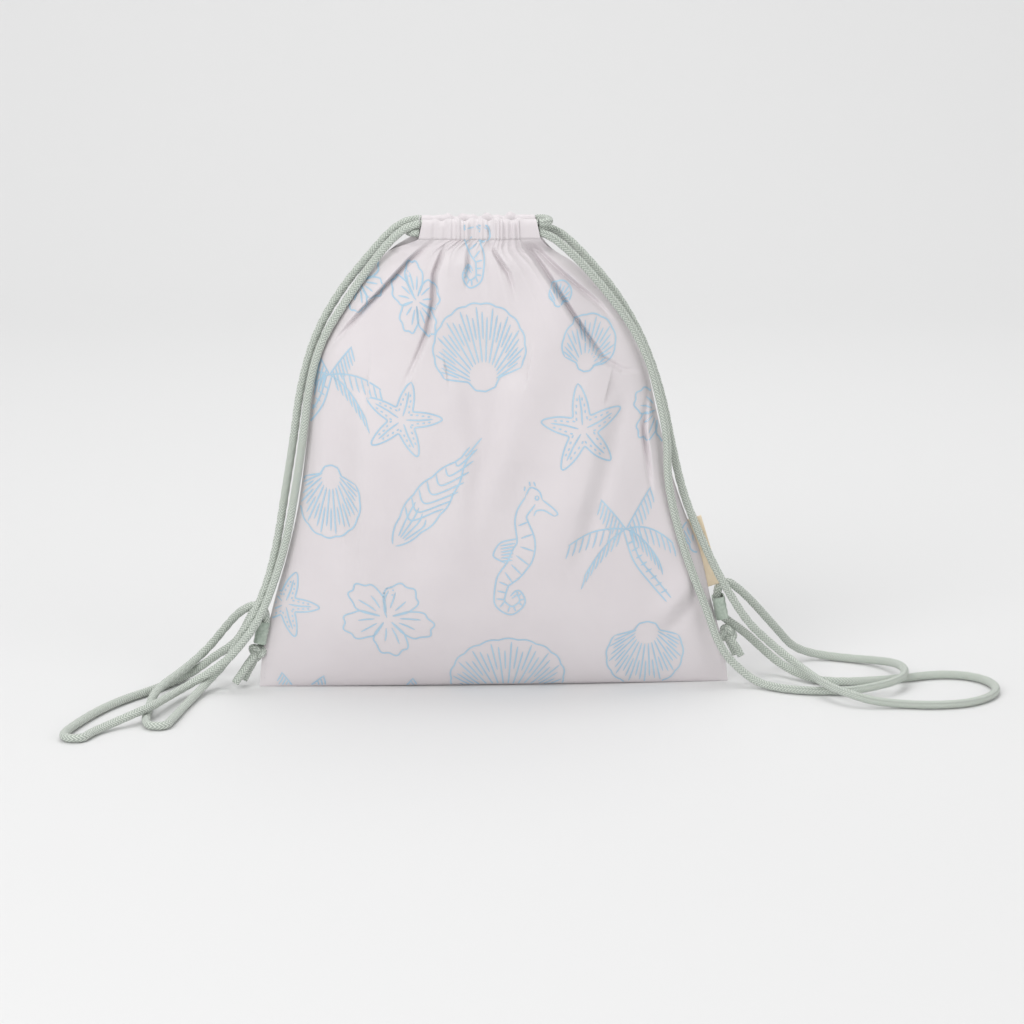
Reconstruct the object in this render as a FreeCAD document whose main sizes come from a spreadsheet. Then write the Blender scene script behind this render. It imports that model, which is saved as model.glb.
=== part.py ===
import FreeCAD, Part
import Sketcher
import math
import os

# A drawstring backpack for a child: two fabric panels with a thin base, a gathered mouth between a
# front and a back casing, and two braided cords that run through both casings and are knotted
# through a tape tab low in each side seam. Millimetres, +Z up, front towards -Y. The origin is at
# the centre of the base, on the surface that the bag stands on.

Vector = FreeCAD.Vector
doc = FreeCAD.newDocument("DrawstringBackpack")

# ---------------------------------------------------------------- driving dimensions
sheet = doc.addObject("Spreadsheet::Sheet", "Sizes")

SIZES = {
    # sections of the filled bag, from the base to the shoulder: height, half width, half depth
    # and how far the section's middle lies to the side
    "base_z": 0.0,
    "base_half_width": 175.0,
    "base_half_depth": 14.0,
    "base_offset": 0.0,
    "low_z": 63.0,
    "low_half_width": 162.0,
    "low_half_depth": 32.0,
    "low_offset": -1.0,
    "belly_z": 139.0,
    "belly_half_width": 142.0,
    "belly_half_depth": 40.0,
    "belly_offset": -3.5,
    "waist_z": 214.0,
    "waist_half_width": 127.5,
    "waist_half_depth": 38.0,
    "waist_offset": -8.0,
    "chest_z": 262.0,
    "chest_half_width": 115.0,
    "chest_half_depth": 33.0,
    "chest_offset": -11.0,
    "shoulder_z": 290.0,
    "shoulder_half_width": 97.0,
    "shoulder_half_depth": 28.0,
    "shoulder_offset": -12.0,
    "seam_end_z": 318.0,
    "seam_end_half_width": 72.0,
    "seam_end_half_depth": 22.0,
    "seam_end_offset": -13.5,
    # collar: the gathered cloth above the side seams, up to the casing
    "collar_gap": 0.5,
    "collar_top_z": 336.0,
    "collar_top_half_width": 47.0,
    "collar_top_half_depth": 17.5,
    "collar_top_offset": -13.0,
    # cloth, drawn thicker than it is so that it can be handled as a solid
    "cloth_thickness": 3.0,
    "seam_width": 9.0,
    # casings: gathered sleeves round the mouth
    "mouth_length": 84.0,
    "mouth_offset": -11.0,
    "casing_height": 17.0,
    "casing_depth": 10.0,
    "casing_wall": 1.3,
    "casing_spacing": 24.0,
    "stitch_height": 0.8,
    "stitch_proud": 0.5,
    # cord
    "cord_diameter": 6.5,
    "cord_stacking": 6.8,
    "cord_gap": 0.9,
    # tape tabs in the side seams
    "tab_height": 17.0,
    "tab_reach": 9.5,
    "tab_depth": 14.0,
    "tab_wall": 1.0,
    "tab_left_x": -172.6,
    "tab_left_z": 42.5,
    "tab_right_x": 168.3,
    "tab_right_z": 57.5,
    "seam_angle": 11.5,
    # knots and the cord ends below them
    "knot_radius": 8.0,
    "knot_flat_radius": 5.8,
    # label in the right side seam
    "label_width": 10.5,
    "label_height": 54.0,
    "label_thickness": 0.8,
    "label_x": 156.2,
    "label_y": 1.0,
    "label_z": 100.0,
    "label_lean": 17.0,
    # bindings over the raw edges of the side seams, inside the bag
    "binding_width": 7.0,
    "binding_thickness": 3.0,
}
for row, (alias, value) in enumerate(SIZES.items(), start=1):
    sheet.set("A%d" % row, alias)
    sheet.set("B%d" % row, str(value))
    sheet.setAlias("B%d" % row, alias)
doc.recompute()

parts = []


def size(alias):
    """A driving dimension as a plain number."""
    return float(sheet.get(alias))


def publish(obj, label):
    """Gives a finished sub-part its name and puts it on the list of files to write."""
    obj.Label = label
    parts.append(obj)
    return obj


def origin_plane(body, role):
    """One of the body's own origin planes."""
    return [f for f in body.Origin.OriginFeatures if f.Role == role][0]


def new_sketch(body, name, role="XY_Plane"):
    """An empty sketch on one of the body's own planes."""
    sketch = body.newObject("Sketcher::SketchObject", name)
    sketch.AttachmentSupport = (origin_plane(body, role), "")
    sketch.MapMode = "FlatFace"
    return sketch


def bind(sketch, index, expression):
    """Drives one constraint of a sketch from the sheet."""
    sketch.setExpression("Constraints[%d]" % index, expression)


# ---------------------------------------------------------------- cloth panels
SECTIONS = ["base", "low", "belly", "waist", "chest", "shoulder", "seam_end"]


def add_bow(body, name, section, inset, z_extra):
    """A section of the front half: a straight line on the seam plane and an arc bowed forwards.

    inset is "" for the outside of the cloth, or the expression that moves it in for the inside.
    """
    half_width = size(section + "_half_width")
    half_depth = size(section + "_half_depth")
    trim_width = size("seam_width") if inset else 0.0
    trim_depth = size("cloth_thickness") if inset else 0.0
    reach = half_width - trim_width
    bow = half_depth - trim_depth

    sketch = new_sketch(body, name)
    left, right = Vector(-reach, 0, 0), Vector(reach, 0, 0)
    sketch.addGeometry(Part.LineSegment(left, right), False)
    sketch.addGeometry(Part.Arc(left, Vector(0, -bow, 0), right), False)
    radius = (reach**2 + bow**2) / (2 * bow)
    sketch.addConstraint([
        Sketcher.Constraint("Coincident", 0, 1, 1, 1),
        Sketcher.Constraint("Coincident", 0, 2, 1, 2),
        Sketcher.Constraint("PointOnObject", 0, 1, -1),
        Sketcher.Constraint("PointOnObject", 0, 2, -1),
        Sketcher.Constraint("DistanceX", 0, 1, -1, 1, reach),
        Sketcher.Constraint("DistanceX", -1, 1, 0, 2, reach),
        Sketcher.Constraint("Radius", 1, radius),
    ])
    half = "Sizes.%s_half_width%s" % (section, " - Sizes.seam_width" if inset else "")
    deep = "Sizes.%s_half_depth%s" % (section, " - Sizes.cloth_thickness" if inset else "")
    bind(sketch, 4, half)
    bind(sketch, 5, half)
    bind(sketch, 6, "((%s)^2 + (%s)^2) / (2 * (%s))" % (half, deep, deep))
    sketch.setExpression("AttachmentOffset.Base.x", "Sizes.%s_offset" % section)
    sketch.setExpression("AttachmentOffset.Base.z", "Sizes.%s_z%s" % (section, z_extra))
    return sketch


def loft(body, kind, name, sketches):
    """A loft through the sections, added to the body or taken out of it."""
    feature = body.newObject(kind, name)
    feature.Profile = sketches[0]
    feature.Sections = sketches[1:]
    feature.Ruled = False
    feature.Closed = False
    body.Tip = feature
    doc.recompute()
    return feature


def hollow_body(label, outer, inner, most):
    """A body lofted through the outer sections and hollowed through the inner ones."""
    body = doc.addObject("PartDesign::Body", label)
    outside = [add_bow(body, "%s_outer_%d" % (label, i), *row) for i, row in enumerate(outer)]
    doc.recompute()
    full = loft(body, "PartDesign::AdditiveLoft", label + "_outside", outside).Shape.Volume
    inside = [add_bow(body, "%s_inner_%d" % (label, i), *row) for i, row in enumerate(inner)]
    doc.recompute()
    hollow = loft(body, "PartDesign::SubtractiveLoft", label + "_inside", inside)
    assert hollow.Shape.Volume < most * full, label + " is not hollow"
    return publish(body, label)


def make_front_panel():
    """Front panel with its half of the base, open at the top."""
    outer = [(s, False, "") for s in SECTIONS]
    above = {"base": " + Sizes.cloth_thickness", "seam_end": " + 1"}
    inner = [(s, True, above.get(s, "")) for s in SECTIONS]
    return hollow_body("front_panel", outer, inner, 0.4)


def make_front_collar():
    """Gathered cloth between the end of the side seams and the front casing."""
    outer = [("seam_end", False, " + Sizes.collar_gap"), ("collar_top", False, "")]
    inner = [("seam_end", True, " + Sizes.collar_gap - 1"), ("collar_top", True, " + 1")]
    return hollow_body("front_collar", outer, inner, 0.6)


def make_mirrored(source, label):
    """The back piece of a pair: the front one mirrored through the seam plane."""
    mirror = doc.addObject("Part::Mirroring", label)
    mirror.Source = source
    mirror.Normal = Vector(0, 1, 0)
    return publish(mirror, label)


# ---------------------------------------------------------------- sleeves: casings and tabs
def centred_box(name, lengths):
    """A box centred on the origin; lengths are its three sides, as expressions of the sheet."""
    box = doc.addObject("Part::Box", name)
    for side, length in zip(("Length", "Width", "Height"), lengths):
        box.setExpression(side, length)
    for axis, length in zip("xyz", lengths):
        box.setExpression("Placement.Base.%s" % axis, "-(%s) / 2" % length)
    return box


def make_sleeve(label, lengths, wall, axis, rounding):
    """A sleeve with an open channel along one axis (0 for X, 2 for Z) and rounded long edges."""
    outside = centred_box(label + "_outside", lengths)
    inner = [length if i == axis else "%s - 2 * Sizes.%s" % (length, wall)
             for i, length in enumerate(lengths)]
    inner[axis] = "%s + 2" % lengths[axis]
    channel = centred_box(label + "_channel", inner)
    doc.recompute()
    edges = [
        (number, rounding, rounding)
        for number, edge in enumerate(outside.Shape.Edges, start=1)
        if abs((edge.Vertexes[1].Point - edge.Vertexes[0].Point)[axis]) > 1
    ]
    soft = doc.addObject("Part::Fillet", label + "_soft_edges")
    soft.Base = outside
    soft.Edges = edges
    sleeve = doc.addObject("Part::Cut", label)
    sleeve.Base = soft
    sleeve.Tool = channel
    doc.recompute()
    return sleeve


def make_casing(label, side):
    """Front (side -1) or back (side +1) sleeve of the mouth, with both cords inside it."""
    lengths = ("Sizes.mouth_length", "Sizes.casing_depth", "Sizes.casing_height")
    casing = make_sleeve(label, lengths, "casing_wall", 0, 3.0)
    casing.setExpression("Placement.Base.x", "Sizes.mouth_offset")
    casing.setExpression("Placement.Base.y", "%d * Sizes.casing_spacing / 2" % side)
    casing.setExpression("Placement.Base.z", "Sizes.collar_top_z + Sizes.casing_height / 2")
    return publish(casing, label)


def make_tab(label, left):
    """Folded tape loop that stands out of a side seam, open upwards and downwards."""
    key = "left" if left else "right"
    lengths = ("Sizes.tab_reach", "Sizes.tab_depth", "Sizes.tab_height")
    tab = make_sleeve(label, lengths, "tab_wall", 2, 2.0)
    lean = 1 if left else -1
    tab.Placement = FreeCAD.Placement(
        Vector(size("tab_%s_x" % key), 0, size("tab_%s_z" % key)),
        FreeCAD.Rotation(Vector(0, 1, 0), lean * size("seam_angle")),
    )
    tab.setExpression("Placement.Base.x", "Sizes.tab_%s_x" % key)
    tab.setExpression("Placement.Base.z", "Sizes.tab_%s_z" % key)
    return publish(tab, label)


def make_casing_stitch(label, side):
    """Line of sewing thread along the lower edge of a casing, on its outer face."""
    box = doc.addObject("Part::Box", label)
    box.setExpression("Length", "Sizes.mouth_length - 4")
    box.setExpression("Width", "Sizes.stitch_proud")
    box.setExpression("Height", "Sizes.stitch_height")
    box.setExpression("Placement.Base.x", "Sizes.mouth_offset - Sizes.mouth_length / 2 + 2")
    outer = "Sizes.casing_spacing / 2 + Sizes.casing_depth / 2"
    if side < 0:
        box.setExpression("Placement.Base.y", "-(%s) - Sizes.stitch_proud" % outer)
    else:
        box.setExpression("Placement.Base.y", outer)
    box.setExpression("Placement.Base.z", "Sizes.collar_top_z + Sizes.casing_depth / 2 + 0.5")
    return publish(box, label)


# ---------------------------------------------------------------- cords
# Both cords lie in each casing, the left strap's above the right strap's; the straps and the turns
# begin a small gap outside the casing.
CASING_MIDDLE_Z = size("collar_top_z") + size("casing_height") / 2
LEFT_EXIT_Z = CASING_MIDDLE_Z + size("cord_stacking") / 2
RIGHT_EXIT_Z = CASING_MIDDLE_Z - size("cord_stacking") / 2
CASING_Y = size("casing_spacing") / 2
LEFT_END_X = size("mouth_offset") - size("mouth_length") / 2
LEFT_EXIT_X = LEFT_END_X - size("cord_gap")
RIGHT_EXIT_X = size("mouth_offset") + size("mouth_length") / 2 + size("cord_gap")

# Each strap leaves its casing, runs down the edge of the bag to the floor, lies there in one loop
# and comes back up to its tab. Points where two straight runs would meet; the corners are rounded
# by arcs as large as the runs allow.
ROUTES = {
    "left_strap_front": [
        (LEFT_EXIT_X, -CASING_Y, LEFT_EXIT_Z), (-63, -12, 346), (-75, -10, 336),
        (-90, -8.5, 317), (-108, -7, 291), (-126, -6, 262), (-135, -5.5, 231),
        (-140, -5.5, 190), (-146.3, -5.5, 150), (-153, -6, 114), (-162, -7, 84),
        (-172, -10.5, 59), (-180, -13, 46), (-188, -14, 36), (-196, -14, 26.5),
        (-206, -13.5, 18.5), (-217, -16, 12), (-229, -26, 7.5), (-241, -57, 8.5),
        (-249, -83, 10.2), (-261, -99, 9.2), (-276, -108, 5), (-287, -120, 3.4),
        (-292.3, -130.5, 3.4), (-294.5, -137.5, 3.4), (-300.6, -139.8, 3.4), (-306.7, -137.6, 3.4),
        (-309.9, -131.9, 3.4), (-307.5, -119, 3.4), (-300, -97, 3.4), (-289, -70, 3.4),
        (-273, -42, 3.4), (-254, -19, 3.4), (-239, 4, 3.4), (-229, 20, 4),
        (-219, 25, 9.4), (-209, 21, 18), (-200, 15, 25), (-192, 11.5, 32),
        (-186.5, 8.5, 41), (-182.5, 5, 50), (-178, -0.5, 59.5), (-167.5, -3.4, 55),
        (-171, -3.4, 42),
    ],
    "left_strap_back": [
        (LEFT_EXIT_X, CASING_Y, LEFT_EXIT_Z), (-62, 12, 347.5), (-74, 8, 341),
        (-92, 4, 321.5), (-113, 2.5, 296), (-131, 2, 264), (-142, 2, 225),
        (-147, 2, 188), (-154, 2, 147), (-160, 0.5, 111), (-167, -3.5, 83),
        (-175.5, -7, 62.5), (-182.5, -8, 49), (-189, -5.5, 39), (-195.5, -3, 26),
        (-203, -2, 15.5), (-212, -10, 8), (-220, -31, 4.2), (-228.5, -64, 3.4),
        (-232.3, -84, 3.4), (-235.8, -98, 3.4), (-237.3, -108, 3.4), (-242, -111.7, 3.4),
        (-248, -111.2, 3.4), (-252, -106.7, 3.4), (-253.4, -98, 3.4), (-254, -83, 3.4),
        (-253, -65, 4.2), (-251, -46, 8),
        (-244.5, -26, 10.2), (-236, -3, 10.6), (-225, 24, 13), (-213, 30, 23),
        (-201, 25, 39), (-192, 17, 51), (-184.5, 10, 58), (-177, 6, 61.5),
        (-168, 3.4, 55.5), (-171, 3.4, 44.5),
    ],
    "right_strap_front": [
        (RIGHT_EXIT_X, -CASING_Y, RIGHT_EXIT_Z), (39, -12, 339.5), (50, -11, 331),
        (66, -9.5, 315.5), (84, -9, 294), (100.5, -9, 271.5), (113.5, -9, 245),
        (121, -9, 217), (127, -10.5, 188), (126.5, -12, 160), (133, -13, 127),
        (144.5, -13, 90), (157.2, -14, 58.5), (164.5, -15, 36.5), (172.5, -16, 23),
        (182, -17, 13.5), (191, -19.5, 6.5), (200, -25, 3.4), (214, -36, 3.4),
        (232, -42, 3.4), (252, -43, 3.4), (268, -44, 4.6), (282, -46, 8),
        (294, -43, 10.2), (303, -29, 10.4), (307, -8, 10.2), (304, 15, 8),
        (294, 34, 4.8), (277, 45, 3.4), (257, 54, 3.4), (240, 56, 6.5),
        (228, 49, 14), (218, 39, 27), (206, 29, 42), (193, 19, 58),
        (182, 11, 69.5), (173.5, 6.5, 76), (165.5, 4.8, 71), (167, 3.4, 60),
    ],
    "right_strap_back": [
        (RIGHT_EXIT_X, CASING_Y, RIGHT_EXIT_Z), (41, 12, 341.5), (53, 9, 335),
        (69, 5.5, 319), (89, 4, 295), (106, 3.5, 266.5), (118, 3, 236),
        (125.5, 2, 209), (130.5, 1, 183), (139, -1, 146), (150.5, -4.2, 117),
        (163, -5, 90), (175, -6.5, 68), (189, -4, 46), (204, 0.5, 31),
        (216, -1.5, 21), (227, -14, 14.5), (235, -32, 11.6), (243, -53, 10.4),
        (255, -71, 9.6), (272, -78, 5.6), (293, -79, 3.4), (314, -83, 3.4),
        (336, -81, 3.4), (354, -71, 3.4), (367, -54, 3.4), (371, -34, 3.4),
        (365, -15, 3.4), (350, -3, 3.4), (330, -1.5, 3.4), (305, -10.5, 3.4),
        (280, -16.5, 3.4), (256, -18.5, 3.4), (239, -12, 3.4), (227, 1, 5),
        (215, 14, 9.5), (203, 21, 19), (191, 15, 31.5), (182, 7.5, 40),
        (175, 3.4, 45.5), (169, 1.3, 51),
    ],
}


def round_route(points, label):
    """Straight runs joined by tangent arcs, each arc as large as the shorter of its runs allows."""
    pts = [Vector(*p) for p in points]
    edges = []
    start = pts[0]
    radii = []
    for before, corner, after in zip(pts, pts[1:], pts[2:]):
        a = corner - before
        b = after - corner
        turn = a.getAngle(b)
        shorter = min(a.Length, b.Length)
        radii.append(0.45 * shorter / math.tan(turn / 2))
        into = Vector(a).normalize()
        out = Vector(b).normalize()
        begin = corner - into * (0.45 * shorter)
        end = corner + out * (0.45 * shorter)
        inward = Vector(out - into).normalize()
        reach = radii[-1] * (1 / math.cos(turn / 2) - 1)
        middle = corner + inward * reach
        edges.append(Part.LineSegment(start, begin).toShape())
        edges.append(Part.Arc(begin, middle, end).toShape())
        start = end
    edges.append(Part.LineSegment(start, pts[-1]).toShape())
    wire = Part.Wire(edges)
    print("%s: %.0f mm long, radii %.1f to %.0f mm" % (label, wire.Length, min(radii), max(radii)))
    return wire


def make_cord(label, points):
    """A cord's tube: its round section swept along a rounded route."""
    wire = round_route(points, label)
    first = wire.Edges[0]
    heading = first.tangentAt(first.FirstParameter)
    radius = size("cord_diameter") / 2
    section = Part.Wire(Part.makeCircle(radius, Vector(*points[0]), heading))
    tube = wire.makePipeShell([section], True, True)
    expected = math.pi * radius**2 * wire.Length
    assert abs(tube.Volume - expected) < 0.01 * expected, "%s volume %g, not %g" % (
        label, tube.Volume, expected)
    feature = doc.addObject("Part::Feature", label)
    feature.Shape = tube
    return publish(feature, label)


def make_cord_run(label, side, z):
    """The straight stretch of a cord inside a casing."""
    run = doc.addObject("Part::Cylinder", label)
    run.setExpression("Radius", "Sizes.cord_diameter / 2")
    run.setExpression("Height", "Sizes.mouth_length")
    run.Placement = FreeCAD.Placement(
        Vector(LEFT_END_X, side * CASING_Y, z), FreeCAD.Rotation(Vector(0, 1, 0), 90)
    )
    return publish(run, label)


def make_cord_turn(label, x, z, out):
    """Where a cord goes round from the front casing to the back casing at the mouth's end."""
    reach = 9.0
    y = CASING_Y
    points = [
        (x, -y, z), (x + out * reach, -y + 1, z), (x + out * (reach + 3), 0, z),
        (x + out * reach, y - 1, z), (x, y, z),
    ]
    return make_cord(label, points)


def make_knot(label, centre, lean):
    """Outer shape of the overhand knot that ties the two ends of one cord."""
    knot = doc.addObject("Part::Ellipsoid", label)
    knot.setExpression("Radius1", "Sizes.knot_flat_radius")
    knot.setExpression("Radius2", "Sizes.knot_radius")
    knot.setExpression("Radius3", "Sizes.knot_radius - 1")
    knot.Placement = FreeCAD.Placement(Vector(*centre), FreeCAD.Rotation(Vector(0, 1, 0), lean))
    return publish(knot, label)


def make_tail(label, start, end):
    """A short free end of a cord below its knot."""
    begin, finish = Vector(*start), Vector(*end)
    tail = doc.addObject("Part::Cylinder", label)
    tail.setExpression("Radius", "Sizes.cord_diameter / 2")
    tail.Height = (finish - begin).Length
    tail.Placement = FreeCAD.Placement(
        begin, FreeCAD.Rotation(Vector(0, 0, 1), finish - begin)
    )
    return publish(tail, label)


# ---------------------------------------------------------------- label and seam bindings
def make_label():
    """Woven ribbon label, sewn into the right side seam along its inner edge."""
    label = doc.addObject("Part::Box", "side_label")
    label.setExpression("Length", "Sizes.label_width")
    label.setExpression("Width", "Sizes.label_thickness")
    label.setExpression("Height", "Sizes.label_height")
    lean = FreeCAD.Rotation(Vector(0, 1, 0), -size("label_lean"))
    middle = Vector(size("label_width") / 2, size("label_thickness") / 2, size("label_height") / 2)
    place = Vector(size("label_x"), size("label_y"), size("label_z"))
    label.Placement = FreeCAD.Placement(place - lean.multVec(middle), lean)
    return publish(label, "side_label")


def make_binding(label, out):
    """Thread-wrapped edge of the seam allowance, inside the bag along one side seam."""
    wire_points = []
    for section in ("low", "belly", "waist", "chest"):
        x = size(section + "_offset") + out * (size(section + "_half_width") - size("seam_width"))
        wire_points.append(Vector(x - out * 5.5, 0, size(section + "_z")))
    half = size("binding_width") / 2
    thick = size("binding_thickness") / 2
    faces = []
    for lower, upper in zip(wire_points, wire_points[1:]):
        corners = [
            lower + Vector(-half, -thick, 0), lower + Vector(half, -thick, 0),
            upper + Vector(half, -thick, 0), upper + Vector(-half, -thick, 0),
        ]
        face = Part.Face(Part.makePolygon(corners + corners[:1]))
        faces.append(face.extrude(Vector(0, 2 * thick, 0)))
    solid = faces[0]
    for piece in faces[1:]:
        solid = solid.fuse(piece)
    feature = doc.addObject("Part::Feature", label)
    feature.Shape = solid.removeSplitter()
    return publish(feature, label)


# ---------------------------------------------------------------- the whole bag
make_mirrored(make_front_panel(), "back_panel")
make_mirrored(make_front_collar(), "back_collar")
for name, side in (("front", -1), ("back", 1)):
    make_casing(name + "_casing", side)
    make_casing_stitch(name + "_casing_stitching", side)
    make_cord_run("left_cord_%s_run" % name, side, LEFT_EXIT_Z)
    make_cord_run("right_cord_%s_run" % name, side, RIGHT_EXIT_Z)

make_cord_turn("left_cord_turn", RIGHT_EXIT_X, LEFT_EXIT_Z, 1)
make_cord_turn("right_cord_turn", LEFT_EXIT_X, RIGHT_EXIT_Z, -1)
for name, points in ROUTES.items():
    make_cord(name, points)

make_tab("left_tab", True)
make_tab("right_tab", False)
make_knot("left_knot", (-176.5, 0, 26.5), 25)
make_knot("right_knot", (174.0, 0, 36.5), -30)
make_tail("left_cord_tail_front", (-181.5, -4.5, 21.5), (-193, -9, 5.2))
make_tail("left_cord_tail_back", (-178, 3.5, 20.5), (-187, 3, 4.6))
make_tail("right_cord_tail_front", (177.5, -4, 31), (184, -6, 21))
make_tail("right_cord_tail_back", (176, 4, 30), (181, 5, 19.5))
make_label()
make_binding("left_seam_binding", -1)
make_binding("right_seam_binding", 1)
doc.recompute()

for obj in doc.Objects:
    bad = [s for s in obj.State if s in ("Invalid", "Error")]
    assert not bad, "%s failed: %s" % (obj.Label, bad)
for obj in parts:
    assert not obj.Shape.isNull() and obj.Shape.isValid(), obj.Label + " is not a valid shape"

os.makedirs("parts", exist_ok=True)
for obj in parts:
    obj.Shape.exportStep("parts/%s.step" % obj.Label)
print("%d sub-parts written" % len(parts))
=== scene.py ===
import math

import bpy
import numpy as np
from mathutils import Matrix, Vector


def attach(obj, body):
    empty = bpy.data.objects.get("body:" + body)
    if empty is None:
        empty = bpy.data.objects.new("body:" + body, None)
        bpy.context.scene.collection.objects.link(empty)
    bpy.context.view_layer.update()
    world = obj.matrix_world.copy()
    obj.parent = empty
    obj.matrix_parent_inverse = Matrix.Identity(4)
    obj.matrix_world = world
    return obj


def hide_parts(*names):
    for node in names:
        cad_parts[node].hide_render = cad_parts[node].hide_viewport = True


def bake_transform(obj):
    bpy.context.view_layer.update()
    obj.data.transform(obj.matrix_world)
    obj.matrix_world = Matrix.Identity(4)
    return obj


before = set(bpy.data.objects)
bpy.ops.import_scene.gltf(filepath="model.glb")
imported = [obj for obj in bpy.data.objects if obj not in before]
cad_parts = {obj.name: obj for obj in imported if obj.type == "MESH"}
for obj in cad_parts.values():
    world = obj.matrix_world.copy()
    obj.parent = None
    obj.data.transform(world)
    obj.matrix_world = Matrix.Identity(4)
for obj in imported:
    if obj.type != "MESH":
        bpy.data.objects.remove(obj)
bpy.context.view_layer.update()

# A child's drawstring backpack of smooth pale cloth with a light blue seaside print, gathered by two
# grey-green braided cords whose straps lie in loops on the floor. Metres; +Z up, front towards -Y.

MM = 0.001
TAU = 2 * math.pi
CORD_WIDTH = 6.5
CORD_ROUND = 0.0204  # the way round the cord, in metres, which its material's pattern closes on
PLAIT_LEAD = 0.0098
LEFT_EXIT_X = -53.9  # where the cords leave the casings, in millimetres
RIGHT_EXIT_X = 31.9
CASING_Y = 12


# ---------------------------------------------------------------- small helpers
def smooth_curve(points):
    """A monotone cubic through (position, value) points, in millimetres."""
    x, y = np.array(points, float).T
    step = np.diff(x)
    slope = np.diff(y) / step
    tangent = np.concatenate([slope[:1], np.zeros(len(x) - 2), slope[-1:]])
    for i in range(1, len(x) - 1):
        if slope[i - 1] * slope[i] > 0:
            tangent[i] = 2 / (1 / slope[i - 1] + 1 / slope[i])

    def value(at):
        at = np.clip(at, x[0], x[-1])
        i = np.clip(np.searchsorted(x, at) - 1, 0, len(step) - 1)
        t = (at - x[i]) / step[i]
        return (y[i] * (1 + 2 * t) * (1 - t) ** 2 + y[i + 1] * t**2 * (3 - 2 * t)
                + step[i] * (tangent[i] * t * (1 - t) ** 2 - tangent[i + 1] * t**2 * (1 - t)))

    return value


def smoothstep(low, high, at):
    t = np.clip((at - low) / (high - low), 0, 1)
    return t * t * (3 - 2 * t)


def even(line, spacing):
    """The same line with evenly spaced points."""
    steps = np.linalg.norm(np.diff(line, axis=0), axis=1)
    along = np.concatenate([[0], np.cumsum(steps)])
    at = np.linspace(0, along[-1], max(int(along[-1] / spacing), 8))
    return np.stack([np.interp(at, along, line[:, k]) for k in range(3)], -1)


def mesh_object(name, vertices, faces, material, uvs=None):
    """A smooth-shaded mesh object; uvs holds one pair per vertex."""
    mesh = bpy.data.meshes.new(name)
    mesh.from_pydata([tuple(v) for v in vertices], [], faces)
    if uvs is not None:
        layer = mesh.uv_layers.new(name="Along")
        corners = np.empty(len(mesh.loops), int)
        mesh.loops.foreach_get("vertex_index", corners)
        layer.data.foreach_set("uv", np.asarray(uvs, float)[corners].ravel())
    mesh.polygons.foreach_set("use_smooth", [True] * len(mesh.polygons))
    mesh.update()
    obj = bpy.data.objects.new(name, mesh)
    bpy.context.scene.collection.objects.link(obj)
    mesh.materials.append(material)
    return obj


def grid_faces(rows, columns, closed=False):
    """Quads of a grid of vertices; closed joins the last column to the first."""
    faces = []
    last = columns if closed else columns - 1
    for r in range(rows - 1):
        for c in range(last):
            d = (c + 1) % columns
            faces.append((r * columns + c, r * columns + d, (r + 1) * columns + d, (r + 1) * columns + c))
    return faces


# ---------------------------------------------------------------- materials
def new_material(name, color, roughness, sheen=0.0, specular=0.4):
    material = bpy.data.materials.new(name)
    material.use_nodes = True
    nodes = material.node_tree.nodes
    shader = nodes["Principled BSDF"]
    shader.inputs["Base Color"].default_value = (*color, 1)
    shader.inputs["Roughness"].default_value = roughness
    shader.inputs["Sheen Weight"].default_value = sheen
    shader.inputs["Sheen Roughness"].default_value = 0.5
    shader.inputs["Specular IOR Level"].default_value = specular
    return material, nodes, material.node_tree.links, shader


def tint(material_parts, low, high, scale):
    """Lets the colour drift gently between two tones."""
    material, nodes, links, shader = material_parts
    noise = nodes.new("ShaderNodeTexNoise")
    noise.inputs["Scale"].default_value = scale
    noise.inputs["Detail"].default_value = 4.0
    coords = nodes.new("ShaderNodeTexCoord")
    links.new(coords.outputs["Object"], noise.inputs["Vector"])
    ramp = nodes.new("ShaderNodeValToRGB")
    ramp.color_ramp.elements[0].position = 0.3
    ramp.color_ramp.elements[0].color = (*low, 1)
    ramp.color_ramp.elements[1].position = 0.7
    ramp.color_ramp.elements[1].color = (*high, 1)
    links.new(noise.outputs["Fac"], ramp.inputs["Fac"])
    links.new(ramp.outputs["Color"], shader.inputs["Base Color"])


def weave_bump(material_parts, pitch, strength):
    """Two crossed waves, as threads of a plain weave."""
    material, nodes, links, shader = material_parts
    coords = nodes.new("ShaderNodeTexCoord")
    waves = []
    for direction in ("X", "Z"):
        wave = nodes.new("ShaderNodeTexWave")
        wave.bands_direction = direction
        wave.inputs["Scale"].default_value = 0.314 / pitch
        wave.inputs["Distortion"].default_value = 0.4
        wave.inputs["Detail"].default_value = 1.0
        links.new(coords.outputs["Object"], wave.inputs["Vector"])
        waves.append(wave)
    both = nodes.new("ShaderNodeMath")
    both.operation = "MULTIPLY"
    links.new(waves[0].outputs["Fac"], both.inputs[0])
    links.new(waves[1].outputs["Fac"], both.inputs[1])
    bump = nodes.new("ShaderNodeBump")
    bump.inputs["Strength"].default_value = strength
    bump.inputs["Distance"].default_value = 0.0002
    links.new(both.outputs["Value"], bump.inputs["Height"])
    links.new(bump.outputs["Normal"], shader.inputs["Normal"])


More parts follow.
